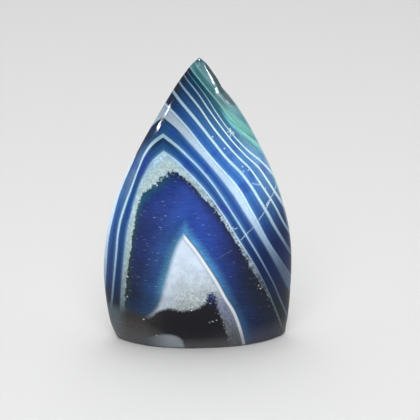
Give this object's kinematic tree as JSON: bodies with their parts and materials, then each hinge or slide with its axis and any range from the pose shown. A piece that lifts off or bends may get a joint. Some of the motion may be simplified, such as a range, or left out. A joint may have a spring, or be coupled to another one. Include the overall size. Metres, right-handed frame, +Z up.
{
  "type": "polished agate flame carving",
  "caption": "Flame-shaped carving of banded blue agate: one polished lens-shaped stone that tapers to a tip and stands on a flat sawn base.",
  "frame": {"origin": "middle of the flat base, on the surface that the stone stands on", "axes": "+Z up to the tip, +X to the right across the stone's width, -Y out of the face that the picture shows"},
  "size_m": [0.0674, 0.029, 0.105],
  "materials": {
    "agate": "polished, banded in deep blue, pale blue and white, with a green zone near the tip"
  },
  "bodies": {
    "root": {"flame_stone": "agate"}
  },
  "joints": []
}
